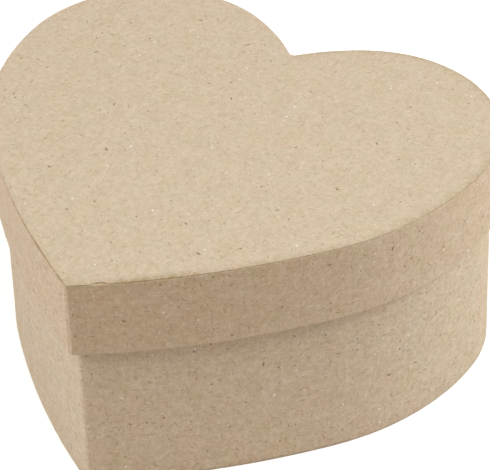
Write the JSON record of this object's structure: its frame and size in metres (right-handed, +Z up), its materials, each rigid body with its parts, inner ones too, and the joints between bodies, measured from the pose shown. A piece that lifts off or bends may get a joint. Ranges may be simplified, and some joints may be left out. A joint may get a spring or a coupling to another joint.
{
  "type": "heart-shaped gift box",
  "caption": "Heart-shaped kraft-covered board gift box with a deep rim lid that lifts straight off, for sweets, keepsakes or small gifts.",
  "frame": {"origin": "middle of the box's length and width, on the surface that it stands on", "axes": "+Z up, towards the lid; -Y towards the heart's point, +Y towards its cleft; +X across to a lobe"},
  "size_m": [0.135, 0.1252, 0.0652],
  "materials": {
    "board": "matte",
    "tape": "matte",
    "kraft_wrap": "matte",
    "kraft_sheet": "matte",
    "kraft_lining": "matte"
  },
  "bodies": {
    "base": {"base_board": "board", "base_wall_left": "board", "base_wall_right": "board", "base_point_tape": "tape", "base_cleft_tape": "tape", "base_wrap": "kraft_wrap", "base_bottom_sheet": "kraft_sheet", "base_wall_lining": "kraft_lining", "base_floor_lining": "kraft_lining"},
    "lid": {"lid_board": "board", "lid_rim_left": "board", "lid_rim_right": "board", "lid_point_tape": "tape", "lid_cleft_tape": "tape", "lid_wrap": "kraft_wrap", "lid_top_sheet": "kraft_sheet", "lid_rim_lining": "kraft_lining", "lid_ceiling_lining": "kraft_lining"}
  },
  "joints": [
    {"name": "lid_lift", "type": "slide", "parent": "base", "child": "lid", "axis": [0, 0, 1], "range_m": [0, 0.08]}
  ]
}
